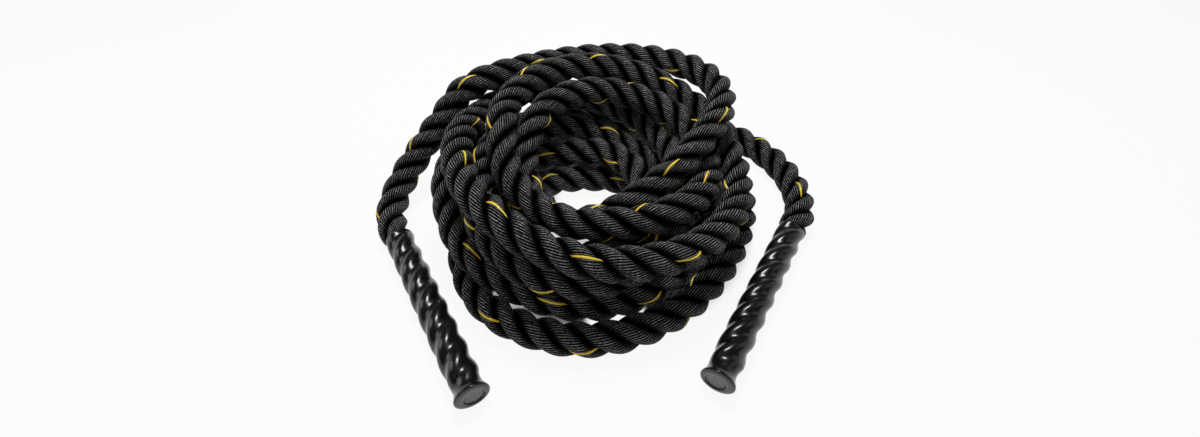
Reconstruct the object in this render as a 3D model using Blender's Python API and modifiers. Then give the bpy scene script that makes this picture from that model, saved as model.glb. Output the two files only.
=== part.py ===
"""A battle rope: a thick laid rope in a loose coil, with a shrunk sleeve and an end cap on each grip."""

import math

import bmesh
import bpy
import numpy as np
from mathutils import Matrix, Vector

# Rope
ROPE_DIAMETER = 0.038
ROPE_RADIUS = ROPE_DIAMETER / 2
STRAND_COUNT = 3
FLAT_DEPTH = ROPE_DIAMETER / 10
TOUCH_GAP = 0.0003
LEAST_GAP = 0.0004

# Looks
ROPE_COLOUR = (0.012, 0.012, 0.012)
ROPE_ROUGHNESS = 0.85
SLEEVE_COLOUR = (0.008, 0.008, 0.009)
SLEEVE_ROUGHNESS = 0.2
CAP_COLOUR = (0.07, 0.07, 0.07)
CAP_ROUGHNESS = 0.6
SHARP_ANGLE = math.radians(65)
LEAD_RESOLUTION = 4

# Left end, from the grip's mouth to where the rope climbs onto the coil
LEFT_MOUTH = (-0.263, -0.049, ROPE_RADIUS)
LEFT_HEADING = math.radians(-58)
LEFT_LEAD = [
    (-0.288, -0.001, ROPE_RADIUS),
    (-0.285, 0.036, 0.024),
    (-0.272, 0.072, 0.045),
    (-0.243, 0.094, 0.078),
]

# The top stretch, over the back of the coil, sharply back across it and down into its middle
TOP_STRETCH = [
    (-0.208, 0.113, 0.113),
    (-0.151, 0.165, 0.126),
    (-0.091, 0.215, 0.126),
    (-0.018, 0.243, 0.125),
    (0.061, 0.243, 0.125),
    (0.131, 0.210, 0.129),
    (0.170, 0.170, 0.130),
    (0.177, 0.109, 0.124),
    (0.132, 0.040, 0.114),
    (0.084, -0.015, 0.093),
    (0.024, -0.052, 0.070),
    (-0.034, -0.059, 0.061),
    (-0.081, -0.031, 0.066),
]

# Each row is a turn, clockwise from the left, with a value at every eighth of the way round
COIL_CENTRE = (0.003, 0.012)
STATIONS_PER_TURN = 8
TURN_RADII = [
    (0.108, 0.121, 0.147, 0.158, 0.141, 0.124, 0.103, 0.105),
    (0.123, 0.169, 0.194, 0.203, 0.184, 0.175, 0.173, 0.171),
    (0.180, 0.237, 0.188, 0.141, 0.106, 0.122, 0.170, 0.182),
    (0.158, 0.132, 0.116, 0.124, 0.158, 0.144, 0.170, 0.199),
    (0.182, 0.200, 0.191, 0.225, 0.202, 0.180, 0.214, 0.202),
    (0.178, 0.126, 0.081, 0.064, 0.060, 0.092, 0.122, 0.134),
    (0.126, 0.085, 0.068, 0.070, 0.090, 0.118, 0.128, 0.144),
    (0.156, 0.197),
]
TURN_HEIGHTS = [
    (0.082, 0.121, 0.117, 0.092, 0.080, 0.092, 0.080, 0.084),
    (0.105, 0.134, 0.131, 0.094, 0.068, 0.090, 0.104, 0.120),
    (0.118, 0.094, 0.072, 0.057, 0.058, 0.058, 0.066, 0.084),
    (0.080, 0.072, 0.059, 0.027, 0.020, 0.030, 0.030, 0.046),
    (0.060, 0.060, 0.026, 0.015, 0.015, 0.015, 0.015, 0.015),
    (0.036, 0.040, 0.044, 0.050, 0.050, 0.042, 0.056, 0.056),
    (0.022, 0.015, 0.015, 0.015, 0.015, 0.015, 0.015, 0.015),
    (0.015, 0.015),
]

# Right end, from where the rope leaves the coil's foot to the grip's mouth
RIGHT_LEAD = [
    (-0.069, 0.249, ROPE_RADIUS),
    (-0.015, 0.265, ROPE_RADIUS),
    (0.041, 0.263, ROPE_RADIUS),
    (0.097, 0.248, ROPE_RADIUS),
    (0.149, 0.225, ROPE_RADIUS),
    (0.197, 0.195, ROPE_RADIUS),
    (0.241, 0.159, ROPE_RADIUS),
    (0.274, 0.113, ROPE_RADIUS),
    (0.284, 0.058, ROPE_RADIUS),
    (0.275, 0.002, ROPE_RADIUS),
]
RIGHT_MOUTH = (0.261, -0.033, ROPE_RADIUS)
RIGHT_HEADING = math.radians(-122)

# How the route is worked out and let settle
POINT_SPACING = ROPE_DIAMETER
SETTLED_GAP_SHARE = 1.02
SETTLED_GAP = SETTLED_GAP_SHARE * ROPE_DIAMETER
COIL_FLOOR = ROPE_RADIUS - FLAT_DEPTH
CURVE_STEPS = 24
SETTLE_ROUNDS = 200
CLEARING_ROUNDS = 160
NEIGHBOURS = 4
STIFFNESS_SHARE = 0.05
HOME_SHARE = 0.025
PUSH_SHARE = 0.5
SMALLEST = 1e-12
LEFT_LEAD_POINTS = 6
RIGHT_LEAD_POINTS = 13
HELD_POINTS = 2


def unit(vector):
    return vector / np.linalg.norm(vector)


def heading_direction(heading):
    return np.array((math.cos(heading), math.sin(heading), 0))


def coil_stations():
    """Where each turn passes, an eighth of a turn at a time, clockwise seen from above."""
    stations = []
    for turn, (radii, heights) in enumerate(zip(TURN_RADII, TURN_HEIGHTS)):
        for place, (radius, height) in enumerate(zip(radii, heights)):
            angle = math.pi - math.tau * (turn + place / STATIONS_PER_TURN)
            x = COIL_CENTRE[0] + radius * math.cos(angle)
            y = COIL_CENTRE[1] + radius * math.sin(angle)
            stations.append((x, y, height))
    return stations


def smooth_curve(knots):
    """A fine smooth curve that runs through the knots."""
    knots = np.array(knots)
    spans = np.linalg.norm(np.diff(knots, axis=0), axis=1)[:, None]
    slopes = np.diff(knots, axis=0) / spans
    inner = (slopes[:-1] * spans[1:] + slopes[1:] * spans[:-1]) / (spans[:-1] + spans[1:])
    tangents = np.vstack([slopes[:1], inner, slopes[-1:]])
    share = np.linspace(0, 1, CURVE_STEPS, endpoint=False)[:, None]
    ease = share**2 * (3 - 2 * share)
    leaving = share * (1 - share) ** 2
    arriving = share**2 * (share - 1)
    pieces = []
    for i, span in enumerate(spans):
        across = knots[i] * (1 - ease) + knots[i + 1] * ease
        pieces.append(across + span * (tangents[i] * leaving + tangents[i + 1] * arriving))
    return np.vstack([*pieces, knots[-1:]])


def evenly_spaced(curve, spacing):
    """Points on the curve about a spacing apart."""
    lengths = np.linalg.norm(np.diff(curve, axis=0), axis=1)
    along = np.concatenate([[0], np.cumsum(lengths)])
    count = round(along[-1] / spacing) + 1
    places = np.linspace(0, along[-1], count)
    return np.stack([np.interp(places, along, column) for column in curve.T], axis=1)


def row_dot(first, second):
    return (first * second).sum(axis=1)


def nearest_stretches(points):
    """Where every two stretches that aren't neighbours come nearest, and the line between them there."""
    first, second = np.triu_indices(len(points) - 1, NEIGHBOURS)
    run_a = points[first + 1] - points[first]
    run_b = points[second + 1] - points[second]
    apart = points[first] - points[second]
    aa, ab, bb = row_dot(run_a, run_a), row_dot(run_a, run_b), row_dot(run_b, run_b)
    a_apart, b_apart = row_dot(run_a, apart), row_dot(run_b, apart)
    share_a = np.clip((ab * b_apart - bb * a_apart) / np.maximum(aa * bb - ab**2, SMALLEST), 0, 1)
    share_b = np.clip((ab * share_a + b_apart) / bb, 0, 1)
    share_a = np.clip((ab * share_b - a_apart) / aa, 0, 1)
    between = apart + run_a * share_a[:, None] - run_b * share_b[:, None]
    return first, second, share_a, share_b, between


def push_apart(points, gap):
    """Moves each stretch that lies too near another half of the way out, along the line between them."""
    first, second, share_a, share_b, between = nearest_stretches(points)
    distance = np.maximum(np.linalg.norm(between, axis=1), SMALLEST)
    near = distance < gap
    move = (PUSH_SHARE * (gap - distance) / distance)[near, None] * between[near] / 2
    first, second = first[near], second[near]
    share_a, share_b = share_a[near, None], share_b[near, None]
    moved = points.copy()
    np.add.at(moved, first, move * (1 - share_a))
    np.add.at(moved, first + 1, move * share_a)
    np.add.at(moved, second, -move * (1 - share_b))
    np.add.at(moved, second + 1, -move * share_b)
    return moved


def stiffened(points):
    """One small step towards a curve that bends as evenly as rope does."""
    bend = np.zeros_like(points)
    bend[1:-1] = points[2:] - 2 * points[1:-1] + points[:-2]
    change = np.zeros_like(points)
    change[2:-2] = bend[3:-1] - 2 * bend[2:-2] + bend[1:-3]
    return points - STIFFNESS_SHARE * change


def kept_in_length(points, spacing):
    """Draws neighbouring points back to one spacing."""
    runs = np.diff(points, axis=0)
    lengths = np.linalg.norm(runs, axis=1)[:, None]
    excess = PUSH_SHARE * runs * (lengths - spacing) / lengths / 2
    moved = points.copy()
    moved[:-1] += excess
    moved[1:] -= excess
    return moved


def settled(points):
    """Lets the loose turns push each other clear over the floor, near where they are laid."""
    laid = points.copy()
    spacing = np.linalg.norm(np.diff(points, axis=0), axis=1).mean()
    start, end = points[:HELD_POINTS].copy(), points[-HELD_POINTS:].copy()
    floor = np.full(len(points), COIL_FLOOR)
    floor[: LEFT_LEAD_POINTS + 1] = ROPE_RADIUS
    floor[-RIGHT_LEAD_POINTS - HELD_POINTS :] = ROPE_RADIUS
    for step in range(SETTLE_ROUNDS + CLEARING_ROUNDS):
        if step < SETTLE_ROUNDS:
            points = kept_in_length(stiffened(points), spacing)
            points += HOME_SHARE * (laid - points)
        points = push_apart(points, SETTLED_GAP)
        points[:, 2] = np.maximum(points[:, 2], floor)
        for split in (LEFT_LEAD_POINTS, len(points) - 1 - RIGHT_LEAD_POINTS):
            points[split] = (points[split - 1] + points[split + 1]) / 2
        points[:HELD_POINTS] = start
        points[-HELD_POINTS:] = end
    return points


def rope_route():
    """The rope from the left grip's mouth through all its turns to the right grip's mouth."""
    left_mouth, right_mouth = np.array(LEFT_MOUTH), np.array(RIGHT_MOUTH)
    left_back = left_mouth - POINT_SPACING * heading_direction(LEFT_HEADING)
    right_back = right_mouth - POINT_SPACING * heading_direction(RIGHT_HEADING)
    knots = [left_mouth, left_back, *LEFT_LEAD, *TOP_STRETCH, *coil_stations()]
    knots += [*RIGHT_LEAD, right_back, right_mouth]
    points = evenly_spaced(smooth_curve(knots), POINT_SPACING)
    points[1] = left_back
    points[-2] = right_back
    return settled(points)


# Grips: a shrunk sleeve over the rope's end and over a plug with a flange
GRIP_LENGTH = 0.255
GRIP_LAY = 0.096
SLEEVE_SQUEEZE = 0.0004
SLEEVE_RADIUS = ROPE_RADIUS - SLEEVE_SQUEEZE
SLEEVE_GROOVE = 0.0042
GROOVE_SHARPNESS = 1.3
SLEEVE_WALL = 0.0015
SLEEVE_SIDES = 24
SLEEVE_RING_SHARE = 0.075
SLEEVE_RING_SPACING = SLEEVE_RING_SHARE * GRIP_LAY
MOUTH_RIM = 0.0004
MOUTH_RIM_LENGTH = 0.0016
SHOULDER = 0.025
FLARE_RISE = 0.0010
FLARE_RADIUS = ROPE_RADIUS + FLARE_RISE
LIP_ROUNDING = 0.0012
OPENING_RADIUS = 0.0108
OPENING_DROP = 0.0032
OPENING_SIDEWAYS = 0.0018
STRAND_CLEARANCE = 0.0014
STRAND_REACH = SLEEVE_RADIUS - SLEEVE_WALL - STRAND_CLEARANCE
STRAND_CIRCLE_SHARE = 0.565
STRAND_CIRCLE = STRAND_CIRCLE_SHARE * STRAND_REACH
STRAND_RADIUS = STRAND_REACH - STRAND_CIRCLE
STRAND_POINTS_PER_TURN = 12
STRAND_STRAIGHT = 0.003
FLANGE_CLEARANCE = 0.0008
FLANGE_RADIUS = FLARE_RADIUS - SLEEVE_WALL - FLANGE_CLEARANCE
FLANGE_THICKNESS = 0.0025
FLANGE_EDGE = 0.0005
PLUG_CLEARANCE = 0.0004
PLUG_RADIUS = SLEEVE_RADIUS - SLEEVE_GROOVE - SLEEVE_WALL - PLUG_CLEARANCE
PLUG_LENGTH = 0.020
CAP_STEPS = 32
MERGE_DISTANCE = 0.00002

# The sleeve's drawn-in neck and flare: how far before its end each ring lies, as a share of the shoulder,
# with its radius as a share of the sleeve's and how much of the groove is left
NECK_SHARES = [
    (1.00, 0.99, 0.90),
    (0.76, 0.925, 0.50),
    (0.56, 0.88, 0.15),
    (0.38, 0.895, 0.00),
    (0.24, 0.97, 0.00),
    (0.13, 1.055, 0.00),
]

CUTTER_SIZE = 1.0


def new_object(name, data, collection):
    made = bpy.data.objects.new(name, data)
    collection.objects.link(made)
    return made


def paint(made, colour, roughness):
    material = bpy.data.materials.new(made.name)
    material.use_nodes = True
    shader = material.node_tree.nodes["Principled BSDF"]
    shader.inputs["Base Color"].default_value = (*colour, 1)
    shader.inputs["Roughness"].default_value = roughness
    made.data.materials.append(material)


def smooth(made):
    made.data.shade_smooth()
    made.data.set_sharp_from_angle(angle=SHARP_ANGLE)


def tube(name, points, radius, resolution, collection):
    """A cord as a curve through its points, with filled ends."""
    curve = bpy.data.curves.new(name, "CURVE")
    curve.dimensions = "3D"
    curve.bevel_depth = radius
    curve.bevel_resolution = resolution
    curve.use_fill_caps = True
    spline = curve.splines.new("POLY")
    spline.points.add(len(points) - 1)
    for point, place in zip(spline.points, points):
        point.co = (*place, 1)
    return new_object(name, curve, collection)


def as_mesh(made, collection):
    """The curve object as a closed mesh object, which a Boolean can cut."""
    graph = bpy.context.evaluated_depsgraph_get()
    data = bpy.data.meshes.new_from_object(made.evaluated_get(graph))
    name = made.name
    place = made.matrix_world.copy()
    bpy.data.objects.remove(made)
    shell = bmesh.new()
    shell.from_mesh(data)
    bmesh.ops.remove_doubles(shell, verts=shell.verts, dist=MERGE_DISTANCE)
    bmesh.ops.recalc_face_normals(shell, faces=shell.faces)
    shell.to_mesh(data)
    shell.free()
    solid = new_object(name, data, collection)
    solid.matrix_world = place
    return solid


def floor_cutter(collection):
    """A block under the floor, which cuts the coil's foot flat."""
    bpy.ops.mesh.primitive_cube_add(size=CUTTER_SIZE, location=(0, 0, -CUTTER_SIZE / 2))
    block = bpy.context.object
    block.name = "floor_cutter"
    block.hide_render = True
    block.display_type = "WIRE"
    for held_by in block.users_collection:
        held_by.objects.unlink(block)
    collection.objects.link(block)
    return block


def drawn_back(points, start_gap, end_gap):
    """The same points with each end moved in along its own run."""
    moved = points.copy()
    moved[0] += start_gap * unit(points[1] - points[0])
    moved[-1] += end_gap * unit(points[-2] - points[-1])
    return moved


def make_rope(route, collection, cutters):
    """The coil, cut flat where it stands, and the free stretch at each end of it."""
    half_gap = TOUCH_GAP / 2
    right_split = len(route) - 1 - RIGHT_LEAD_POINTS
    left = drawn_back(route[: LEFT_LEAD_POINTS + 1], half_gap, half_gap)
    turns = drawn_back(route[LEFT_LEAD_POINTS : right_split + 1], half_gap, half_gap)
    right = drawn_back(route[right_split:], half_gap, half_gap)
    coil = as_mesh(tube("rope_coil", turns, ROPE_RADIUS, 1, collection), collection)
    cut = coil.modifiers.new("foot", "BOOLEAN")
    cut.operation = "DIFFERENCE"
    cut.solver = "EXACT"
    cut.object = floor_cutter(cutters)
    smooth(coil)
    paint(coil, ROPE_COLOUR, ROPE_ROUGHNESS)
    for name, points in (("rope_lead_left", left), ("rope_lead_right", right)):
        lead = tube(name, points, ROPE_RADIUS, LEAD_RESOLUTION, collection)
        paint(lead, ROPE_COLOUR, ROPE_ROUGHNESS)


def grip_frame(route, end):
    """Where a grip starts and its own directions: across, up and along it, away from the rope."""
    mouth, before = (route[0], route[1]) if end == "left" else (route[-1], route[-2])
    rise = (FLARE_RADIUS - ROPE_RADIUS) / GRIP_LENGTH
    along = unit(unit(mouth - before) + np.array((0, 0, rise)))
    across = unit(np.cross((0, 0, 1), along))
    up = np.cross(along, across)
    return mouth, across, up, along


def frame_matrix(frame, distance):
    """The matrix that carries a turned piece, made along Z, to a place along the grip."""
    mouth, across, up, along = frame
    matrix = Matrix.Identity(4)
    for column, direction in enumerate((across, up, along, mouth + distance * along)):
        for row in range(3):
            matrix[row][column] = direction[row]
    return matrix


def ring_points(frame, distance, radius, groove, shift):
    """One ring of the sleeve, which turns with the strands inside it."""
    mouth, across, up, along = frame
    points = []
    for side in range(SLEEVE_SIDES):
        around = math.tau * side / SLEEVE_SIDES
        dip = ((1 - math.cos(STRAND_COUNT * around)) / 2) ** GROOVE_SHARPNESS
        reach = radius - groove * dip
        angle = around + math.tau * distance / GRIP_LAY
        flat = across * (reach * math.cos(angle) + shift[0]) + up * (reach * math.sin(angle) + shift[1])
        points.append(Vector(mouth + flat + along * distance))
    return points


def sleeve_rings(frame, sideways):
    """The rings of the whole sleeve: along its outside, in over the cap's face and back along its inside."""
    centred = (0, 0)
    opening = (sideways, -OPENING_DROP)
    start = TOUCH_GAP / 2
    body_end = GRIP_LENGTH - SHOULDER
    count = round(body_end / SLEEVE_RING_SPACING)
    rim = start + MOUTH_RIM_LENGTH
    body = np.linspace(rim, body_end, count, endpoint=False)[1:]
    outside = [(start, SLEEVE_RADIUS, SLEEVE_GROOVE), (rim, SLEEVE_RADIUS + MOUTH_RIM, SLEEVE_GROOVE)]
    outside += [(place, SLEEVE_RADIUS, SLEEVE_GROOVE) for place in body]
    for back_share, radius_share, groove_share in NECK_SHARES:
        place = GRIP_LENGTH - back_share * SHOULDER
        outside.append((place, radius_share * SLEEVE_RADIUS, groove_share * SLEEVE_GROOVE))
    rings = [ring_points(frame, *ring, centred) for ring in outside]
    lip = GRIP_LENGTH - LIP_ROUNDING
    rings.append(ring_points(frame, lip, FLARE_RADIUS, 0, centred))
    rings.append(ring_points(frame, GRIP_LENGTH, FLARE_RADIUS - LIP_ROUNDING, 0, centred))
    rings.append(ring_points(frame, GRIP_LENGTH, OPENING_RADIUS, 0, opening))
    inner_face = GRIP_LENGTH - SLEEVE_WALL
    rings.append(ring_points(frame, inner_face, OPENING_RADIUS, 0, opening))
    rings.append(ring_points(frame, inner_face, FLARE_RADIUS - SLEEVE_WALL, 0, centred))
    flange_back = inner_face - TOUCH_GAP - FLANGE_THICKNESS - TOUCH_GAP
    rings.append(ring_points(frame, flange_back, FLARE_RADIUS - SLEEVE_WALL, 0, centred))
    for place, radius, groove in reversed(outside):
        if place < flange_back - SLEEVE_WALL:
            rings.append(ring_points(frame, place, radius - SLEEVE_WALL, groove, centred))
    return rings


def make_sleeve(name, frame, sideways, collection):
    """A closed skin through the rings, whose last ring joins the first at the sleeve's mouth."""
    shell = bmesh.new()
    rings = [[shell.verts.new(place) for place in ring] for ring in sleeve_rings(frame, sideways)]
    for ring, following in zip(rings, rings[1:] + rings[:1]):
        for side in range(SLEEVE_SIDES):
            beside = (side + 1) % SLEEVE_SIDES
            shell.faces.new((ring[beside], following[beside], following[side], ring[side]))
    bmesh.ops.recalc_face_normals(shell, faces=shell.faces)
    data = bpy.data.meshes.new(name)
    shell.to_mesh(data)
    shell.free()
    sleeve = new_object(name, data, collection)
    smooth(sleeve)
    paint(sleeve, SLEEVE_COLOUR, SLEEVE_ROUGHNESS)


def make_strands(end, frame, collection):
    """The laid strands inside the grip, from its mouth to the plug."""
    mouth, across, up, along = frame
    start = TOUCH_GAP / 2
    end_place = GRIP_LENGTH - SLEEVE_WALL - TOUCH_GAP - FLANGE_THICKNESS - PLUG_LENGTH - TOUCH_GAP
    first_turned, last_turned = start + STRAND_STRAIGHT, end_place - STRAND_STRAIGHT
    count = round(STRAND_POINTS_PER_TURN * (last_turned - first_turned) / GRIP_LAY)
    turned = np.linspace(first_turned, last_turned, count + 1)
    for strand in range(STRAND_COUNT):
        points = []
        for place in (start, *turned, end_place):
            twist = min(max(place, first_turned), last_turned) / GRIP_LAY
            angle = math.tau * (strand / STRAND_COUNT + twist)
            flat = across * math.cos(angle) + up * math.sin(angle)
            points.append(mouth + STRAND_CIRCLE * flat + along * place)
        made = tube(f"{end}_strand_{strand + 1}", points, STRAND_RADIUS, 1, collection)
        paint(made, ROPE_COLOUR, ROPE_ROUGHNESS)


def make_cap(name, frame, collection):
    """The plug against the rope's cut end, with the flange that the sleeve is drawn over."""
    plug_end = -FLANGE_THICKNESS - PLUG_LENGTH
    profile = [
        (0, 0),
        (FLANGE_RADIUS - FLANGE_EDGE, 0),
        (FLANGE_RADIUS, -FLANGE_EDGE),
        (FLANGE_RADIUS, -FLANGE_THICKNESS),
        (PLUG_RADIUS, -FLANGE_THICKNESS),
        (PLUG_RADIUS, plug_end + FLANGE_EDGE),
        (PLUG_RADIUS - FLANGE_EDGE, plug_end),
        (0, plug_end),
    ]
    data = bpy.data.meshes.new(name)
    edges = [(i, i + 1) for i in range(len(profile) - 1)]
    data.from_pydata([(x, 0, z) for x, z in profile], edges, [])
    cap = new_object(name, data, collection)
    turned = cap.modifiers.new("turned", "SCREW")
    turned.steps = turned.render_steps = CAP_STEPS
    turned.use_merge_vertices = True
    turned.merge_threshold = MERGE_DISTANCE
    turned.use_smooth_shade = False
    cap.matrix_world = frame_matrix(frame, GRIP_LENGTH - SLEEVE_WALL - TOUCH_GAP)
    paint(cap, CAP_COLOUR, CAP_ROUGHNESS)


def report_least_gap(route):
    """Prints how near the rope's own turns come to each other, from surface to surface."""
    between = nearest_stretches(route)[-1]
    gap = np.linalg.norm(between, axis=1).min() - ROPE_DIAMETER
    length = np.linalg.norm(np.diff(route, axis=0), axis=1).sum()
    print(f"least gap between turns {gap:.5f} m, at least {LEAST_GAP} m: {gap > LEAST_GAP}")
    print(f"rope from mouth to mouth {length:.3f} m, with both grips {length + 2 * GRIP_LENGTH:.3f} m")


def main():
    for made in list(bpy.data.objects):
        bpy.data.objects.remove(made)
    parts = bpy.data.collections.new("battle_rope")
    cutters = bpy.data.collections.new("cutters")
    for collection in (parts, cutters):
        bpy.context.scene.collection.children.link(collection)
    route = rope_route()
    report_least_gap(route)
    make_rope(route, parts, cutters)
    for end, sideways_sign in (("left", 1), ("right", -1)):
        frame = grip_frame(route, end)
        make_strands(end, frame, parts)
        make_cap(f"{end}_end_cap", frame, parts)
        make_sleeve(f"{end}_grip_sleeve", frame, sideways_sign * OPENING_SIDEWAYS, parts)


main()
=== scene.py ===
import math

import bmesh
import bpy
import numpy as np
from mathutils import Matrix, Vector


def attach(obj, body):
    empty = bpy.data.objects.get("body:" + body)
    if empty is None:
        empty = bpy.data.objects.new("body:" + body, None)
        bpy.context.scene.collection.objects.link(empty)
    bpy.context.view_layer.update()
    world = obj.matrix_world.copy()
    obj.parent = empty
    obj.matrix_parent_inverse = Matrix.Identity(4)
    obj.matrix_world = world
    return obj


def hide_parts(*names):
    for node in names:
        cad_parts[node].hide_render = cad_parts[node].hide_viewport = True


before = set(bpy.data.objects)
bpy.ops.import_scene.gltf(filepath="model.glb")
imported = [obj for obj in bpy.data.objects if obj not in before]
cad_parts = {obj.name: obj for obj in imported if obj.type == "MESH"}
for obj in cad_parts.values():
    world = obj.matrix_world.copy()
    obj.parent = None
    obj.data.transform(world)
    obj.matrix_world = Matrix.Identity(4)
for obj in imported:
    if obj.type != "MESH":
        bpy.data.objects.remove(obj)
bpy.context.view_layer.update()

# Camera, at the photograph's viewing angle
CAMERA_PLACE = (0.003, -0.490, 0.517)
CAMERA_TILT = math.radians(44)
CAMERA_LENS = 15.0
CAMERA_SENSOR = 36.0

# Rope
ROPE_DIAMETER = 0.038
ROPE_RADIUS = ROPE_DIAMETER / 2
STRAND_COUNT = 3

# Left end, from the grip's mouth to where the rope climbs onto the coil
LEFT_MOUTH = (-0.263, -0.049, ROPE_RADIUS)
LEFT_HEADING = math.radians(-58)
LEFT_LEAD = [
    (-0.288, -0.001, ROPE_RADIUS),
    (-0.285, 0.036, 0.024),
    (-0.272, 0.072, 0.045),
    (-0.243, 0.094, 0.078),
]

# The top stretch, over the back of the coil, sharply back across it and down into its middle
TOP_STRETCH = [
    (-0.208, 0.113, 0.113),
    (-0.151, 0.165, 0.126),
    (-0.091, 0.215, 0.126),
    (-0.018, 0.243, 0.125),
    (0.061, 0.243, 0.125),
    (0.131, 0.210, 0.129),
    (0.170, 0.170, 0.130),
    (0.177, 0.109, 0.124),
    (0.132, 0.040, 0.114),
    (0.084, -0.015, 0.093),
    (0.024, -0.052, 0.070),
    (-0.034, -0.059, 0.061),
    (-0.081, -0.031, 0.066),
]

# Each row is a turn, clockwise from the left, with a value at every eighth of the way round
COIL_CENTRE = (0.003, 0.012)
STATIONS_PER_TURN = 8
TURN_RADII = [
    (0.108, 0.121, 0.147, 0.158, 0.141, 0.124, 0.103, 0.105),
    (0.123, 0.169, 0.194, 0.203, 0.184, 0.175, 0.173, 0.171),
    (0.180, 0.237, 0.188, 0.141, 0.106, 0.122, 0.170, 0.182),
    (0.158, 0.132, 0.116, 0.124, 0.158, 0.144, 0.170, 0.199),
    (0.182, 0.200, 0.191, 0.225, 0.202, 0.180, 0.214, 0.202),
    (0.178, 0.126, 0.081, 0.064, 0.060, 0.092, 0.122, 0.134),
    (0.126, 0.085, 0.068, 0.070, 0.090, 0.118, 0.128, 0.144),
    (0.156, 0.197),
]
TURN_HEIGHTS = [
    (0.082, 0.121, 0.117, 0.092, 0.080, 0.092, 0.080, 0.084),
    (0.105, 0.134, 0.131, 0.094, 0.068, 0.090, 0.104, 0.120),
    (0.118, 0.094, 0.072, 0.057, 0.058, 0.058, 0.066, 0.084),
    (0.080, 0.072, 0.059, 0.027, 0.020, 0.030, 0.030, 0.046),
    (0.060, 0.060, 0.026, 0.015, 0.015, 0.015, 0.015, 0.015),
    (0.036, 0.040, 0.044, 0.050, 0.050, 0.042, 0.056, 0.056),
    (0.022, 0.015, 0.015, 0.015, 0.015, 0.015, 0.015, 0.015),
    (0.015, 0.015),
]

# Right end, from where the rope leaves the coil's foot to the grip's mouth
RIGHT_LEAD = [
    (-0.069, 0.249, ROPE_RADIUS),
    (-0.015, 0.265, ROPE_RADIUS),
    (0.041, 0.263, ROPE_RADIUS),
    (0.097, 0.248, ROPE_RADIUS),
    (0.149, 0.225, ROPE_RADIUS),
    (0.197, 0.195, ROPE_RADIUS),
    (0.241, 0.159, ROPE_RADIUS),
    (0.274, 0.113, ROPE_RADIUS),
    (0.284, 0.058, ROPE_RADIUS),
    (0.275, 0.002, ROPE_RADIUS),
]
RIGHT_MOUTH = (0.261, -0.033, ROPE_RADIUS)
RIGHT_HEADING = math.radians(-122)

# How the route is worked out and let settle, as the CAD does it, but with round rope on the floor
POINT_SPACING = ROPE_DIAMETER
SETTLED_GAP = 1.02 * ROPE_DIAMETER
CURVE_STEPS = 24
SETTLE_ROUNDS = 200
CLEARING_ROUNDS = 160
# Stretches fewer than this many points apart along the rope don't push each other
NEIGHBOURS = 4
STIFFNESS_SHARE = 0.05
HOME_SHARE = 0.025
PUSH_SHARE = 0.5
SMALLEST = 1e-12
# Points from each mouth to where the CAD parts the coil from a lead, and those that never move
LEFT_LEAD_POINTS = 6
RIGHT_LEAD_POINTS = 13
HELD_POINTS = 2

# The lay of the rope: a strand is a round bundle of yarns, squeezed flat where it meets the other two
ROPE_LAY = 0.102
STRAND_CENTRE_RADIUS = 0.0087
STRAND_RADIUS = 0.0116
STRAND_GAP = 0.0001
HULL_RADIUS = STRAND_CENTRE_RADIUS + STRAND_RADIUS
GROOVE_RADIUS = 0.0132
YARNS_PER_STRAND = 24
YARN_TURNS_PER_LAY = 1.85
YARN_GROOVE = 0.0007
SIDES_PER_YARN = 3
RING_SPACING = 0.00365
RING_SPACING_IN_GRIP = 0.009
TRACER_STRAND = 0
# The undermost yarns are pressed flat this far above the floor
LOWEST = 0.0002

# The strands' texture map: yarns counted across it, and this many metres to a unit along it
MAP_LENGTH = 0.0027

# Patches of noise to a yarn's width, 3.0 mm, and to a unit along the map: tufts of fibres 1.2 mm wide
# and 2.5 mm long, and stretches about a yarn wide and 30 mm long that are rubbed more or less
TUFTS = (2.5, 1.1, 1)
RUBBED_STRETCHES = (1.1, 0.09, 1)
LEAST_RUBBED = 0.40
TUFT_HEIGHT_SHARE = 0.35
# Noise mostly lies between these two values
NOISE_LOW = 0.35
NOISE_HIGH = 0.65

# Patches of noise to a metre: ripples 15 mm and haze 33 mm long, scuffs 8 mm and grain 0.6 mm wide
RIPPLES = 65.0
HAZE = 30.0
SCUFFS = 120.0
GRAIN = 1600.0

# Grips
GRIP_LENGTH = 0.255
GRIP_LAY = 0.096
GRIP_ROPE_LENGTH = 0.228
GRIP_SQUEEZE = 0.81
SQUEEZE_START = -0.012
SQUEEZE_END = 0.002
SLEEVE_RADIUS = 0.0186
SLEEVE_GROOVE = 0.0030
GROOVE_SHARPNESS = 1.3
SLEEVE_WALL = 0.0015
SLEEVE_SIDES = 48
SLEEVE_RING_SPACING = 0.0033
SHOULDER = 0.025
FLARE_RADIUS = 0.0200
LIP_ROUNDING = 0.0012
OPENING_RADIUS = 0.0108
OPENING_DROP = 0.0032
OPENING_SIDEWAYS = 0.0018

# How near two heights are, or two shares of a groove's depth, to count as the same
SAME_HEIGHT = 1e-6
SAME_SHARE = 1e-3

# The sleeve's mouth, a little swollen: each row is a height and a radius
SLEEVE_MOUTH = [
    (0.00015, 0.0186),
    (0.0010, 0.0190),
    (0.0026, 0.0189),
]

# Its neck and flare: each row is the share of the shoulder that is left up to the end, and the radius
# and the grooves' depth as shares of those of the sleeve's body
SLEEVE_NECK = [
    (1.00, 0.99, 0.90),
    (0.76, 0.925, 0.50),
    (0.56, 0.88, 0.15),
    (0.38, 0.895, 0.00),
    (0.24, 0.97, 0.00),
    (0.13, 1.055, 0.00),
]

# Stage
FLOOR_SIZE = 12
FLOOR_WHITE = 0.9
BACKDROP_HEIGHT = 1.4
BACKDROP_SIDES = 64
PLAIN_WHITE_SHARE = 0.92
FILL_LIGHT = 0.04

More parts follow.
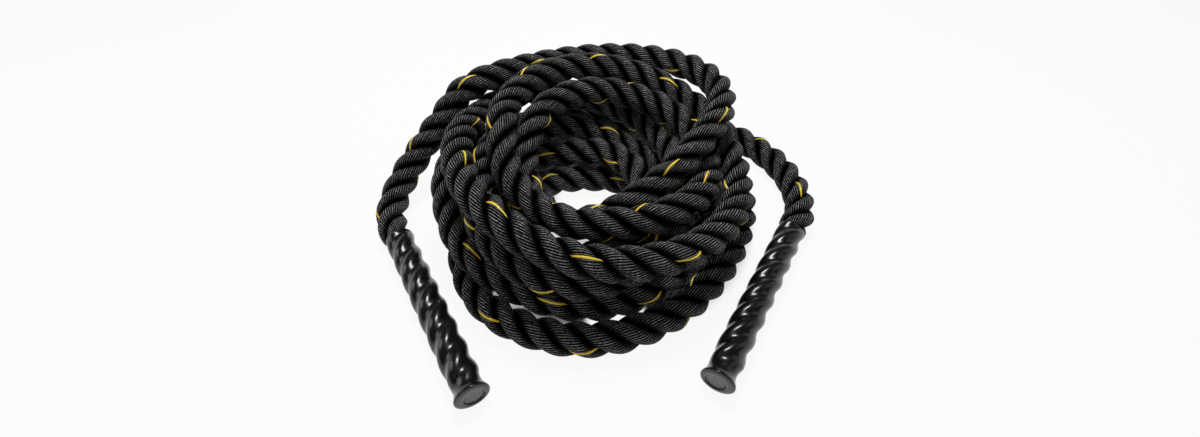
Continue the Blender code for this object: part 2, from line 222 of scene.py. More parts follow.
# Where the floor is plain white: round the coil, in its hole and in the gap at its front.
# Each row is a centre, the radius at which the shade shows in full and the radius at which none does.
PLAIN_FLOOR = [
    ((0.003, 0.030, 0), 0.188, 0.225),
    ((-0.015, 0.045, 0), 0.070, 0.040),
    ((0.022, -0.156, 0), 0.042, 0.030),
]

# Each row is a softbox's name, place, size and power in watts
SOFTBOXES = [
    ("overhead_softbox", (0.0, 0.5, 1.5), (0.5, 0.35), 17),
    ("front_softbox", (0.0, -1.3, 1.2), (2.0, 1.2), 4.5),
    ("left_softbox", (-1.4, 0.1, 0.9), (0.5, 1.0), 4),
    ("right_softbox", (1.4, 0.1, 0.9), (1.0, 1.2), 2),
]


def unit(vector):
    return vector / np.linalg.norm(vector)


def heading_direction(heading):
    return np.array((math.cos(heading), math.sin(heading), 0))


def coil_stations():
    """Where each turn passes, an eighth of a turn at a time, clockwise seen from above."""
    stations = []
    for turn, (radii, heights) in enumerate(zip(TURN_RADII, TURN_HEIGHTS)):
        for place, (radius, height) in enumerate(zip(radii, heights)):
            angle = math.pi - math.tau * (turn + place / STATIONS_PER_TURN)
            x = COIL_CENTRE[0] + radius * math.cos(angle)
            y = COIL_CENTRE[1] + radius * math.sin(angle)
            stations.append((x, y, height))
    return stations


def smooth_curve(knots):
    """A fine smooth curve that runs through the knots."""
    knots = np.array(knots)
    spans = np.linalg.norm(np.diff(knots, axis=0), axis=1)[:, None]
    slopes = np.diff(knots, axis=0) / spans
    inner = (slopes[:-1] * spans[1:] + slopes[1:] * spans[:-1]) / (spans[:-1] + spans[1:])
    tangents = np.vstack([slopes[:1], inner, slopes[-1:]])
    share = np.linspace(0, 1, CURVE_STEPS, endpoint=False)[:, None]
    ease = share**2 * (3 - 2 * share)
    leaving = share * (1 - share) ** 2
    arriving = share**2 * (share - 1)
    pieces = []
    for i, span in enumerate(spans):
        across = knots[i] * (1 - ease) + knots[i + 1] * ease
        pieces.append(across + span * (tangents[i] * leaving + tangents[i + 1] * arriving))
    return np.vstack([*pieces, knots[-1:]])


def lengths_along(points):
    return np.concatenate([[0], np.cumsum(np.linalg.norm(np.diff(points, axis=0), axis=1))])


def points_at(curve, places):
    """The points of the curve at distances along it."""
    along = lengths_along(curve)
    return np.stack([np.interp(places, along, column) for column in curve.T], axis=1)


def evenly_spaced(curve, spacing):
    """Points on the curve about a spacing apart."""
    long = lengths_along(curve)[-1]
    return points_at(curve, np.linspace(0, long, round(long / spacing) + 1))


def row_dot(first, second):
    return (first * second).sum(axis=1)


def push_apart(points, gap):
    """Moves each stretch that lies too near another half of the way out, along the line between them."""
    first, second = np.triu_indices(len(points) - 1, NEIGHBOURS)
    run_a = points[first + 1] - points[first]
    run_b = points[second + 1] - points[second]
    apart = points[first] - points[second]
    aa, ab, bb = row_dot(run_a, run_a), row_dot(run_a, run_b), row_dot(run_b, run_b)
    a_apart, b_apart = row_dot(run_a, apart), row_dot(run_b, apart)
    share_a = np.clip((ab * b_apart - bb * a_apart) / np.maximum(aa * bb - ab**2, SMALLEST), 0, 1)
    share_b = np.clip((ab * share_a + b_apart) / bb, 0, 1)
    share_a = np.clip((ab * share_b - a_apart) / aa, 0, 1)
    between = apart + run_a * share_a[:, None] - run_b * share_b[:, None]
    distance = np.maximum(np.linalg.norm(between, axis=1), SMALLEST)
    near = distance < gap
    move = (PUSH_SHARE * (gap - distance) / distance)[near, None] * between[near] / 2
    first, second = first[near], second[near]
    share_a, share_b = share_a[near, None], share_b[near, None]
    moved = points.copy()
    np.add.at(moved, first, move * (1 - share_a))
    np.add.at(moved, first + 1, move * share_a)
    np.add.at(moved, second, -move * (1 - share_b))
    np.add.at(moved, second + 1, -move * share_b)
    return moved


def stiffened(points):
    """One small step towards a curve that bends as evenly as rope does."""
    bend = np.zeros_like(points)
    bend[1:-1] = points[2:] - 2 * points[1:-1] + points[:-2]
    change = np.zeros_like(points)
    change[2:-2] = bend[3:-1] - 2 * bend[2:-2] + bend[1:-3]
    return points - STIFFNESS_SHARE * change


def kept_in_length(points, spacing):
    """Draws neighbouring points back to one spacing."""
    runs = np.diff(points, axis=0)
    lengths = np.linalg.norm(runs, axis=1)[:, None]
    excess = PUSH_SHARE * runs * (lengths - spacing) / lengths / 2
    moved = points.copy()
    moved[:-1] += excess
    moved[1:] -= excess
    return moved


def settled(points):
    """Lets the loose turns push each other clear over the floor, near where they are laid.

    The first rounds also keep the rope stiff and to its length, and the last ones only clear it.
    """
    laid = points.copy()
    spacing = np.linalg.norm(np.diff(points, axis=0), axis=1).mean()
    start, end = points[:HELD_POINTS].copy(), points[-HELD_POINTS:].copy()
    for step in range(SETTLE_ROUNDS + CLEARING_ROUNDS):
        if step < SETTLE_ROUNDS:
            points = kept_in_length(stiffened(points), spacing)
            points += HOME_SHARE * (laid - points)
        points = push_apart(points, SETTLED_GAP)
        points[:, 2] = np.maximum(points[:, 2], ROPE_RADIUS)
        # the rope runs straight where the CAD parts the coil from the two leads
        for split in (LEFT_LEAD_POINTS, len(points) - 1 - RIGHT_LEAD_POINTS):
            points[split] = (points[split - 1] + points[split + 1]) / 2
        points[:HELD_POINTS] = start
        points[-HELD_POINTS:] = end
    return points


def rope_route():
    """The rope from the left grip's mouth through all its turns to the right grip's mouth."""
    left_mouth, right_mouth = np.array(LEFT_MOUTH), np.array(RIGHT_MOUTH)
    left_back = left_mouth - POINT_SPACING * heading_direction(LEFT_HEADING)
    right_back = right_mouth - POINT_SPACING * heading_direction(RIGHT_HEADING)
    knots = [left_mouth, left_back, *LEFT_LEAD, *TOP_STRETCH, *coil_stations()]
    knots += [*RIGHT_LEAD, right_back, right_mouth]
    points = evenly_spaced(smooth_curve(knots), POINT_SPACING)
    points[1] = left_back
    points[-2] = right_back
    return settled(points)


def grip_frame(route, end):
    """Where a grip starts and its own directions: across, up and along it, away from the rope."""
    mouth, before = (route[0], route[1]) if end == "left" else (route[-1], route[-2])
    rise = (FLARE_RADIUS - ROPE_RADIUS) / GRIP_LENGTH
    along = unit(unit(mouth - before) + np.array((0, 0, rise)))
    across = unit(np.cross((0, 0, 1), along))
    up = np.cross(along, across)
    return mouth, across, up, along


def grip_matrix(grip):
    """The matrix that carries a sleeve made along Z to its grip."""
    mouth, across, up, along = grip
    matrix = Matrix.Identity(4)
    for column, direction in enumerate((across, up, along, mouth)):
        for row in range(3):
            matrix[row][column] = direction[row]
    return matrix


def make_camera():
    """A wide lens held low over the front of the coil, tilted up from straight down."""
    data = bpy.data.cameras.new("camera")
    data.lens = CAMERA_LENS
    data.sensor_width = CAMERA_SENSOR
    camera = bpy.data.objects.new("camera", data)
    camera.location = CAMERA_PLACE
    camera.rotation_euler = (CAMERA_TILT, 0, 0)
    bpy.context.scene.collection.objects.link(camera)
    bpy.context.scene.camera = camera


def carried_frames(line, first_across):
    """The line's own directions at each point, turned as little as the rope's bends allow."""
    runs = np.gradient(line, axis=0)
    tangents = runs / np.linalg.norm(runs, axis=1)[:, None]
    across = np.empty_like(line)
    across[0] = unit(first_across - tangents[0] * np.dot(first_across, tangents[0]))
    for i in range(1, len(line)):
        flat = across[i - 1] - tangents[i] * np.dot(across[i - 1], tangents[i])
        across[i] = unit(flat)
    return across, np.cross(tangents, across)


def rope_lines(route):
    """The whole rope's middle line, its rings' places from the left mouth, and its own directions."""
    left, right = grip_frame(route, "left"), grip_frame(route, "right")
    rope = smooth_curve(route)
    long = lengths_along(rope)[-1]
    middle = np.linspace(0, long, round(long / RING_SPACING) + 1)
    count = round(GRIP_ROPE_LENGTH / RING_SPACING_IN_GRIP)
    in_grip = np.linspace(0, GRIP_ROPE_LENGTH, count + 1)[1:]
    left_part = left[0] + in_grip[::-1, None] * left[3]
    right_part = right[0] + in_grip[:, None] * right[3]
    line = np.vstack([left_part, points_at(rope, middle), right_part])
    places = np.concatenate([-in_grip[::-1], middle, long + in_grip])
    across, beside = carried_frames(line, left[1])
    offset = math.atan2(np.dot(across[-1], right[2]), np.dot(across[-1], right[1]))
    return line, places, across, beside, long, offset


def strand_turn(places, long, offset):
    """How far round the rope a strand lies at each place, so that it meets both sleeves' ridges."""
    free_turns = round(long / ROPE_LAY + offset / math.tau) - offset / math.tau
    outside = np.clip(places, 0, long)
    inside = places - outside
    return math.tau * (free_turns * outside / long + inside / GRIP_LAY)


def squeeze_at(places, long):
    """How much the sleeve squeezes the rope at each place, as a share of its free size."""
    depth = np.maximum(-places, places - long)
    share = np.clip((depth - SQUEEZE_START) / (SQUEEZE_END - SQUEEZE_START), 0, 1)
    ease = share**2 * (3 - 2 * share)
    return 1 - (1 - GRIP_SQUEEZE) * ease


def strand_rings(line, across, beside, turn, squeeze):
    """One strand's rings, flat against its neighbours and on the floor, and how far out each point is."""
    side_count = YARNS_PER_STRAND * SIDES_PER_YARN
    sides = np.arange(side_count)
    reach = np.where(sides % SIDES_PER_YARN == 0, STRAND_RADIUS - YARN_GROOVE, STRAND_RADIUS)
    around = math.tau * sides / side_count - (YARN_TURNS_PER_LAY * turn)[:, None]
    outward = STRAND_CENTRE_RADIUS + reach * np.cos(around)
    sideways = reach * np.sin(around)
    steep, shallow = math.sin(math.pi / STRAND_COUNT), math.cos(math.pi / STRAND_COUNT)
    for sign in (1, -1):
        short = np.maximum(STRAND_GAP - (outward * steep - sign * sideways * shallow), 0)
        outward = outward + short * steep
        sideways = sideways - sign * short * shallow
    past_groove = np.hypot(outward, sideways) - GROOVE_RADIUS
    outward_share = np.clip(past_groove / (HULL_RADIUS - GROOVE_RADIUS), 0, 1)
    outward = outward * squeeze[:, None]
    sideways = sideways * squeeze[:, None]
    cosine, sine = np.cos(turn)[:, None], np.sin(turn)[:, None]
    along_across = (outward * cosine - sideways * sine)[:, :, None]
    along_beside = (outward * sine + sideways * cosine)[:, :, None]
    rings = line[:, None] + across[:, None] * along_across + beside[:, None] * along_beside
    rings[..., 2] = np.maximum(rings[..., 2], LOWEST)
    return rings, outward_share


def strand_object(name, rings, outward_share, places, tracer, materials):
    """A closed strand from its rings, with a texture map of yarns across it and its length along it."""
    ring_count, side_count = rings.shape[:2]
    mesh = bpy.data.meshes.new(name)
    corners = np.arange(ring_count * side_count).reshape(ring_count, side_count)
    beside = np.roll(corners, -1, axis=1)
    faces = np.stack([corners[:-1], beside[:-1], beside[1:], corners[1:]], axis=2).reshape(-1, 4)
    ends = [corners[0][::-1].tolist(), corners[-1].tolist()]
    mesh.from_pydata(rings.reshape(-1, 3), [], faces.tolist() + ends)
    u = np.arange(side_count) / SIDES_PER_YARN
    step = 1 / SIDES_PER_YARN
    v = places / MAP_LENGTH
    quads = np.zeros((ring_count - 1, side_count, 4, 2))
    quads[..., 0] = u[None, :, None] + np.array((0, step, step, 0))
    quads[..., 0:2, 1] = v[:-1, None, None]
    quads[..., 2:4, 1] = v[1:, None, None]
    flat = np.concatenate([quads.reshape(-1), np.zeros(side_count * 4)])
    layer = mesh.uv_layers.new(name="yarns")
    layer.data.foreach_set("uv", flat.astype(np.float32))
    exposed = mesh.attributes.new(name="outward", type="FLOAT", domain="POINT")
    exposed.data.foreach_set("value", outward_share.reshape(-1).astype(np.float32))
    mesh.shade_smooth()
    made = bpy.data.objects.new(name, mesh)
    bpy.context.scene.collection.objects.link(made)
    for material in materials:
        mesh.materials.append(material)
    if tracer:
        yellow = np.zeros((ring_count - 1, side_count), np.int32)
        yellow[:, :SIDES_PER_YARN] = 1
        mesh.polygons.foreach_set("material_index", np.concatenate([yellow.reshape(-1), [0, 0]]))
    mesh.update()
    return made


def make_rope(route):
    """Three strands from end to end, as two cords that meet at the rope's middle."""
    line, places, across, beside, long, offset = rope_lines(route)
    turn = strand_turn(places, long, offset)
    squeeze = squeeze_at(places, long)
    half = len(line) // 2
    black, tracer = make_rope_yarn(), make_tracer_yarn()
    for part, rows in (("left", slice(0, half + 1)), ("right", slice(half, len(line)))):
        for strand in range(STRAND_COUNT):
            name = f"{part}_rope_strand_{strand + 1}"
            angle = turn[rows] + math.tau * strand / STRAND_COUNT
            rings, outward = strand_rings(line[rows], across[rows], beside[rows], angle, squeeze[rows])
            yellow = strand == TRACER_STRAND
            made = strand_object(name, rings, outward, places[rows], yellow, (black, tracer))
            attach(made, "root")
            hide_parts(f"{part}_strand_{strand + 1}", f"rope_lead_{part}", "rope_coil")


def linear_colour(code):
    """An sRGB hex colour as the linear values that a shader takes."""
    parts = [int(code[i : i + 2], 16) / 255 for i in (1, 3, 5)]
    return [c / 12.92 if c <= 0.04045 else ((c + 0.055) / 1.055) ** 2.4 for c in parts] + [1]


def new_material(name):
    material = bpy.data.materials.new(name)
    material.use_nodes = True
    tree = material.node_tree
    return material, tree, tree.nodes["Principled BSDF"]


def set_inputs(tree, node, links, values):
    """Gives some of a node's inputs their values, and links others to the sockets that feed them."""
    for place, value in values.items():
        node.inputs[place].default_value = value
    for place, socket in links.items():
        tree.links.new(socket, node.inputs[place])


def add_node(tree, kind, links, values, **settings):
    """Adds a node of a kind with its settings, its links and its inputs' values."""
    node = tree.nodes.new(kind)
    for name, value in settings.items():
        setattr(node, name, value)
    set_inputs(tree, node, links, values)
    return node


def yarn_profile(tree, uv, crest_power):
    """Two heights across each yarn, from 0 in a valley to 1 on a crest: a round one and a narrow one."""
    across = add_node(tree, "ShaderNodeSeparateXYZ", {0: uv}, {})
    # from 0 in a valley to a half on the next crest
    share = add_node(tree, "ShaderNodeMath", {0: across.outputs[0]}, {1: 0.5}, operation="PINGPONG")
    angle = add_node(tree, "ShaderNodeMath", {0: share.outputs[0]}, {1: math.pi}, operation="MULTIPLY")
    profile = add_node(tree, "ShaderNodeMath", {0: angle.outputs[0]}, {}, operation="SINE")
    crests = add_node(tree, "ShaderNodeMath", {0: profile.outputs[0]}, {1: crest_power}, operation="POWER")
    return profile.outputs[0], crests.outputs[0]


def yarn_noise(tree, uv, patches, detail):
    """Noise with that many patches to each unit of the yarns' map."""
    place = add_node(tree, "ShaderNodeMapping", {0: uv}, {"Scale": patches})
    values = {"Scale": 1.0, "Detail": detail}
    return add_node(tree, "ShaderNodeTexNoise", {"Vector": place.outputs[0]}, values).outputs[0]


def wear_and_groove_shade(tree, uv, tufts, least_pale, groove_end):
    """How pale a crest is drawn: rubbed more or less by its tufts and its stretch of yarn, and darkened as
    painted shade in the groove.
    """
    # one yarn is rubbed paler than the next, over lengths of a few centimetres
    rubbed = yarn_noise(tree, uv, RUBBED_STRETCHES, 2.0)
    limits = {"From Min": NOISE_LOW, "From Max": NOISE_HIGH}
    stretch = add_node(tree, "ShaderNodeMapRange", {0: rubbed}, {**limits, "To Min": LEAST_RUBBED})
    beads = add_node(tree, "ShaderNodeMapRange", {0: tufts}, {**limits, "To Min": least_pale})
    links = {0: stretch.outputs[0], 1: beads.outputs[0]}
    pale = add_node(tree, "ShaderNodeMath", links, {}, operation="MULTIPLY")
    # painted shade: a yarn is drawn black down in the groove between two strands, and pale only where it
    # lies outermost
    outward = add_node(tree, "ShaderNodeAttribute", {}, {}, attribute_name="outward")
    limits = {"From Min": groove_end, "From Max": 1.0}
    links = {0: outward.outputs["Fac"]}
    exposed = add_node(tree, "ShaderNodeMapRange", links, limits, interpolation_type="SMOOTHSTEP")
    links = {0: pale.outputs[0], 1: exposed.outputs[0]}
    return add_node(tree, "ShaderNodeMath", links, {}, operation="MULTIPLY").outputs[0]


def yarn_material(name, valley, crest, crest_power, least_pale, groove_end, smooth, rough, relief):
    """Twisted yarns: dark in the valleys between them as painted shade, with a dull painted sheen where
    their fibres stand up.
    """
    material, tree, shader = new_material(name)
    uv = add_node(tree, "ShaderNodeUVMap", {}, {}, uv_map="yarns").outputs[0]
    profile, crests = yarn_profile(tree, uv, crest_power)
    # fibres are a few hundredths of a millimetre thick, so tufts of them about a millimetre wide show
    tufts = yarn_noise(tree, uv, TUFTS, 3.0)
    links = {0: tufts, 2: profile}
    height = add_node(tree, "ShaderNodeMath", links, {1: TUFT_HEIGHT_SHARE}, operation="MULTIPLY_ADD")
    links = {0: crests, 1: wear_and_groove_shade(tree, uv, tufts, least_pale, groove_end)}
    share = add_node(tree, "ShaderNodeMath", links, {}, operation="MULTIPLY").outputs[0]
    # the base colour carries painted shade in the valleys and grooves and, on black yarn, a painted sheen
    # on the crests
    colours = {6: linear_colour(valley), 7: linear_colour(crest)}
    tone = add_node(tree, "ShaderNodeMix", {"Factor": share}, colours, data_type="RGBA")
    # the gloss comes from the pale crests alone, and none from the painted groove shade
    tints = {6: linear_colour("#000000"), 7: linear_colour("#ffffff")}
    sheen = add_node(tree, "ShaderNodeMix", {"Factor": share}, tints, data_type="RGBA")
    gloss = add_node(tree, "ShaderNodeMapRange", {0: crests}, {"To Min": rough, "To Max": smooth})
    values = {"Strength": 1.0, "Distance": relief}
    bump = add_node(tree, "ShaderNodeBump", {"Height": height.outputs[0]}, values)
    links = {
        "Base Color": tone.outputs[2],
        "Roughness": gloss.outputs[0],
        "Normal": bump.outputs[0],
        "Specular Tint": sheen.outputs[2],
    }
    set_inputs(tree, shader, links, {"Specular IOR Level": 1.0})
    return material


def make_rope_yarn():
    """Black solution-dyed polyester, spun and twisted: a dull grey painted sheen on each yarn's crest,
    painted shade between.
    """
    return yarn_material(
        "black_twisted_polyester_yarn",
        valley="#000000",
        # the pale crest is painted sheen, and the black valleys painted shade
        crest="#d0d0cc",
        crest_power=6.5,
        least_pale=0.04,
        groove_end=0.30,
        smooth=0.36,
        rough=0.9,
        relief=0.0011,
    )


def make_tracer_yarn():
    """Yellow polyester of the same twist: bright down into its valleys, orange as painted shade towards
    the grooves, with a silky gloss.
    """
    material = yarn_material(
        "yellow_twisted_polyester_yarn",
        valley="#ffb000",
        # the orange is painted shade, towards the valleys and the grooves between strands
        crest="#ffff60",
        crest_power=0.2,
        least_pale=0.95,
        groove_end=-1.0,
        smooth=0.3,
        rough=0.5,
        relief=0.0003,
    )
    tree = material.node_tree
    values = {"Sheen Weight": 1.0, "Sheen Roughness": 0.4, "Sheen Tint": linear_colour("#ffe850")}
    set_inputs(tree, tree.nodes["Principled BSDF"], {}, values)
    return material


def plastic_material(name, first, second, patches, detail, smooth, rough, relief_noise, relief):
    """A plastic whose tone and gloss change together in patches, over a fine or wavy relief."""
    material, tree, shader = new_material(name)
    place = add_node(tree, "ShaderNodeTexCoord", {}, {}).outputs["Object"]
    values = {"Scale": relief_noise[0], "Detail": relief_noise[1]}
    height = add_node(tree, "ShaderNodeTexNoise", {"Vector": place}, values)
    values = {"Scale": patches, "Detail": detail}
    wear = add_node(tree, "ShaderNodeTexNoise", {"Vector": place}, values).outputs[0]
    colours = {6: linear_colour(first), 7: linear_colour(second)}
    tone = add_node(tree, "ShaderNodeMix", {"Factor": wear}, colours, data_type="RGBA")
    gloss = add_node(tree, "ShaderNodeMapRange", {0: wear}, {"To Min": smooth, "To Max": rough})
    values = {"Strength": relief[0], "Distance": relief[1]}
    bump = add_node(tree, "ShaderNodeBump", {"Height": height.outputs[0]}, values)
    links = {
        "Base Color": tone.outputs[2],
        "Roughness": gloss.outputs[0],
        "Normal": bump.outputs[0],
    }
    set_inputs(tree, shader, links, {})
    return material


def make_sleeve_plastic():
    """Heat-shrunk polyolefin tube: glossy black, with soft ripples where it shrank unevenly."""
    material = plastic_material(
        "black_heat_shrunk_polyolefin",
        first="#050606",
        second="#121516",
        patches=HAZE,
        detail=3.0,
        smooth=0.30,
        rough=0.50,
        relief_noise=(RIPPLES, 1.0),
        relief=(0.15, 0.0008),
    )
    tree = material.node_tree
    values = {
        "Specular IOR Level": 0.1,
        "Coat Weight": 1.0,
        "Coat Roughness": 0.19,
        "Coat IOR": 1.42,
    }
    set_inputs(tree, tree.nodes["Principled BSDF"], {}, values)
    return material


def make_cap_plastic():
    """Injection-moulded polyethylene from a spark-eroded mould: matte dark grey with a fine grain."""
    # the mould's real grain is about 0.2 mm, and drawn three times as coarse to show
    return plastic_material(
        "grey_moulded_polyethylene",
        first="#6e716e",
        second="#858885",
        patches=SCUFFS,
        detail=4.0,
        smooth=0.48,
        rough=0.66,
        relief_noise=(GRAIN, 2.0),
        relief=(0.3, 0.0001),
    )


def edit_all(made):
    """Enters edit mode on a piece with nothing else selected."""
    bpy.ops.object.select_all(action="DESELECT")
    made.select_set(True)
    bpy.context.view_layer.objects.active = made
    bpy.ops.object.mode_set(mode="EDIT")


def groove_share(place):
    """How much of the groove's depth lies at a point's bearing: nothing on a crest, all of it midway."""
    bearing = math.atan2(place.y, place.x)
    return ((1 - math.cos(STRAND_COUNT * bearing)) / 2) ** GROOVE_SHARPNESS


def ring_vertices(mesh, height):
    return [vertex for vertex in mesh.verts if abs(vertex.co.z - height) < SAME_HEIGHT]


def select_ring(made, height, share=None):
    """Selects just the vertices at a height, or those of them at one share of the groove's depth."""
    mesh = bmesh.from_edit_mesh(made.data)
    for item in (*mesh.faces, *mesh.edges, *mesh.verts):
        item.select_set(False)
    for vertex in ring_vertices(mesh, height):
        if share is None or abs(groove_share(vertex.co) - share) < SAME_SHARE:
            vertex.select_set(True)
    mesh.select_flush(True)
    bmesh.update_edit_mesh(made.data)


def sleeve_outline_rings():
    """Height, radius and groove depth of each ring, from the mouth to the flare."""
    rings = [(height, radius, SLEEVE_GROOVE) for height, radius in SLEEVE_MOUTH]
    mouth_end = SLEEVE_MOUTH[-1][0]
    body_end = GRIP_LENGTH - SHOULDER
    count = round(body_end / SLEEVE_RING_SPACING)
    for height in np.linspace(mouth_end, body_end, count, endpoint=False)[1:]:
        rings.append((height, SLEEVE_RADIUS, SLEEVE_GROOVE))
    for left, radius, groove in SLEEVE_NECK:
        rings.append((GRIP_LENGTH - left * SHOULDER, radius * SLEEVE_RADIUS, groove * SLEEVE_GROOVE))
    rings.append((GRIP_LENGTH - LIP_ROUNDING, FLARE_RADIUS, 0))
    return rings


def shape_ring(made, height, old, new):
    """Draws the ring at a height from an old radius and groove depth to new ones."""
    mesh = bmesh.from_edit_mesh(made.data)
    shares = sorted({round(groove_share(vertex.co), 4) for vertex in ring_vertices(mesh, height)})
    for share in shares:
        ratio = (new[0] - new[1] * share) / (old[0] - old[1] * share)
        if math.isclose(ratio, 1):
            continue
        select_ring(made, height, share)
        bpy.ops.transform.resize(value=(ratio, ratio, 1), center_override=(0, 0, height))


def draw_sleeve_body(made, rings):
    """Draws the wall up from its mouth ring by ring, with its grooves straight."""
    height, radius, groove = rings[0]
    edit_all(made)
    bpy.ops.mesh.select_all(action="SELECT")
    bpy.ops.transform.translate(value=(0, 0, height))
    # a circle's first vertex points along Y, and a crest lies along X
    bpy.ops.transform.rotate(value=math.radians(90), orient_axis="Z", center_override=(0, 0, height))
    shape_ring(made, height, (radius, 0), (radius, groove))
    for before, ring in zip(rings, rings[1:]):
        select_ring(made, before[0])
        bpy.ops.mesh.extrude_edges_move(TRANSFORM_OT_translate={"value": (0, 0, ring[0] - before[0])})
        shape_ring(made, ring[0], before[1:], ring[1:])
    bpy.ops.object.mode_set(mode="OBJECT")


def lay_grooves(made, length):
    """Twists the straight grooves to the lay of the strands inside."""
    twist = made.modifiers.new("laid", "SIMPLE_DEFORM")
    twist.deform_method = "TWIST"
    twist.deform_axis = "Z"
    twist.angle = math.tau * length / GRIP_LAY
    bpy.ops.object.modifier_apply(modifier="laid")


def close_end(made, lip, sideways):
    """Rounds the flare's lip and draws the end face in to its opening, low and a little to one side."""
    edit_all(made)
    select_ring(made, lip)
    bpy.ops.mesh.extrude_edges_move(TRANSFORM_OT_translate={"value": (0, 0, LIP_ROUNDING)})
    narrow = (FLARE_RADIUS - LIP_ROUNDING) / FLARE_RADIUS
    bpy.ops.transform.resize(value=(narrow, narrow, 1), center_override=(0, 0, GRIP_LENGTH))
    bpy.ops.mesh.extrude_edges_move(TRANSFORM_OT_translate={"value": (0, 0, 0)})
    narrow = OPENING_RADIUS / (FLARE_RADIUS - LIP_ROUNDING)
    bpy.ops.transform.resize(value=(narrow, narrow, 1), center_override=(0, 0, GRIP_LENGTH))
    bpy.ops.transform.translate(value=(sideways, -OPENING_DROP, 0))
    bpy.ops.mesh.select_all(action="SELECT")
    bpy.ops.mesh.normals_make_consistent(inside=False)
    bpy.ops.object.mode_set(mode="OBJECT")


def thicken_and_round(made):
    """Gives the sleeve its wall, on the inside, and rounds its form."""
    wall = made.modifiers.new("wall", "SOLIDIFY")
    wall.thickness = SLEEVE_WALL
    wall.offset = -1
    wall.use_even_offset = True
    bpy.ops.object.modifier_apply(modifier="wall")
    rounded = made.modifiers.new("rounded", "SUBSURF")
    rounded.levels = rounded.render_levels = 1
    bpy.ops.object.modifier_apply(modifier="rounded")
    bpy.ops.object.shade_smooth()


def make_sleeve(end, grip, sideways, material):
    """One grip's sleeve, drawn along Z from its mouth and then carried to its place."""
    rings = sleeve_outline_rings()
    bpy.ops.mesh.primitive_circle_add(
        vertices=SLEEVE_SIDES,
        radius=rings[0][1],
        fill_type="NOTHING",
        location=(0, 0, 0),
    )
    made = bpy.context.object
    made.name = f"{end}_shrunk_sleeve"
    draw_sleeve_body(made, rings)
    lay_grooves(made, rings[-1][0] - rings[0][0])
    close_end(made, rings[-1][0], sideways)
    thicken_and_round(made)
    made.matrix_world = grip_matrix(grip)
    bpy.ops.object.transform_apply(location=True, rotation=True, scale=True)
    made.data.materials.append(material)
    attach(made, "root")
    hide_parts(f"{end}_grip_sleeve")


def plain_floor(tree):
    """How much of the floor's white is plain at each place, from nothing under the coil."""
    place = add_node(tree, "ShaderNodeTexCoord", {}, {}).outputs["Object"]
    most = None
    for centre, shaded, white in PLAIN_FLOOR:
        reach = add_node(tree, "ShaderNodeVectorMath", {0: place}, {1: centre}, operation="DISTANCE")
        links = {0: reach.outputs["Value"]}
        limits = {"From Min": shaded, "From Max": white, "To Max": PLAIN_WHITE_SHARE}
        ramp = add_node(tree, "ShaderNodeMapRange", links, limits, interpolation_type="SMOOTHSTEP")
        if most is None:
            most = ramp.outputs[0]
        else:
            links = {0: most, 1: ramp.outputs[0]}
            most = add_node(tree, "ShaderNodeMath", links, {}, operation="MAXIMUM").outputs[0]
    return most


def make_paper():
    """White studio paper: matte, and drawn nearly plain white to the camera away from the coil."""
    material, tree, shader = new_material("white_studio_paper")
    values = {
        "Base Color": (FLOOR_WHITE, FLOOR_WHITE, FLOOR_WHITE, 1),
        "Roughness": 1.0,
        "Specular IOR Level": 0.0,
    }
    set_inputs(tree, shader, {}, values)
    ray = add_node(tree, "ShaderNodeLightPath", {}, {})
    links = {0: ray.outputs["Is Camera Ray"], 1: plain_floor(tree)}
    seen = add_node(tree, "ShaderNodeMath", links, {}, operation="MULTIPLY")
    # the sleeves mirror it as white too
    links = {0: ray.outputs["Is Glossy Ray"]}
    mirrored = add_node(tree, "ShaderNodeMath", links, {1: PLAIN_WHITE_SHARE}, operation="MULTIPLY")
    links = {0: seen.outputs[0], 1: mirrored.outputs[0]}
    part = add_node(tree, "ShaderNodeMath", links, {}, operation="MAXIMUM")
    white = add_node(tree, "ShaderNodeEmission", {}, {})
    links = {0: part.outputs[0], 1: shader.outputs[0], 2: white.outputs[0]}
    mixed = add_node(tree, "ShaderNodeMixShader", links, {})
    tree.links.new(mixed.outputs[0], tree.nodes["Material Output"].inputs[0])
    return material


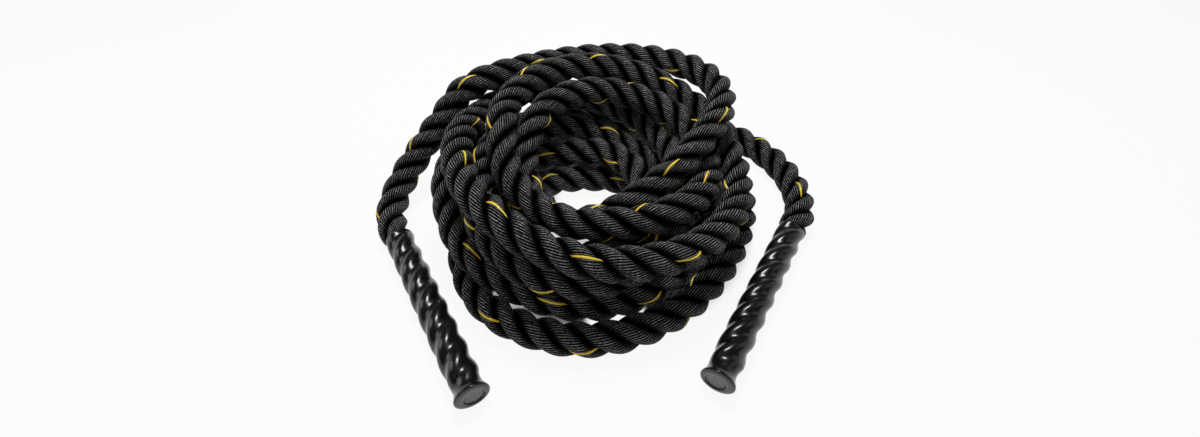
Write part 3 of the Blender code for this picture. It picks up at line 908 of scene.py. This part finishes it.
def make_stage():
    """A floor that keeps the object's shadow under the coil and only a trace of it elsewhere, and a low
    round wall of the same paper.
    """
    bpy.ops.mesh.primitive_plane_add(size=FLOOR_SIZE, location=(0, 0, 0))
    floor = bpy.context.object
    floor.name = "floor"
    bpy.ops.mesh.primitive_cylinder_add(
        vertices=BACKDROP_SIDES,
        radius=FLOOR_SIZE / 2,
        depth=BACKDROP_HEIGHT,
        end_fill_type="NOTHING",
        location=(0, 0, BACKDROP_HEIGHT / 2),
    )
    backdrop = bpy.context.object
    backdrop.name = "backdrop"
    paper = make_paper()
    for made in (floor, backdrop):
        made.data.materials.append(paper)


def make_softbox(name, place, size, power):
    """A rectangular lamp that faces the middle of the object."""
    data = bpy.data.lights.new(name, "AREA")
    data.shape = "RECTANGLE"
    data.size, data.size_y = size
    data.energy = power
    lamp = bpy.data.objects.new(name, data)
    lamp.location = place
    lamp.rotation_euler = (-Vector(place)).to_track_quat("-Z", "Y").to_euler()
    bpy.context.scene.collection.objects.link(lamp)


def make_light():
    """The softboxes, and a world that is white to the camera and lights the object only a little."""
    world = bpy.data.worlds.new("studio")
    world.use_nodes = True
    tree = world.node_tree
    ray = add_node(tree, "ShaderNodeLightPath", {}, {})
    links = {0: ray.outputs["Is Camera Ray"]}
    level = add_node(tree, "ShaderNodeMapRange", links, {"To Min": FILL_LIGHT, "To Max": 1.0})
    set_inputs(tree, tree.nodes["Background"], {1: level.outputs[0]}, {0: (1, 1, 1, 1)})
    bpy.context.scene.world = world
    for lamp in SOFTBOXES:
        make_softbox(*lamp)


def main():
    bpy.context.scene.view_settings.view_transform = "Standard"
    make_camera()
    route = rope_route()
    make_rope(route)
    sleeve_plastic, cap_plastic = make_sleeve_plastic(), make_cap_plastic()
    for end, side in (("left", 1), ("right", -1)):
        make_sleeve(end, grip_frame(route, end), side * OPENING_SIDEWAYS, sleeve_plastic)
        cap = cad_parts[f"{end}_end_cap"]
        cap.data.materials.clear()
        cap.data.materials.append(cap_plastic)
    make_stage()
    make_light()


main()
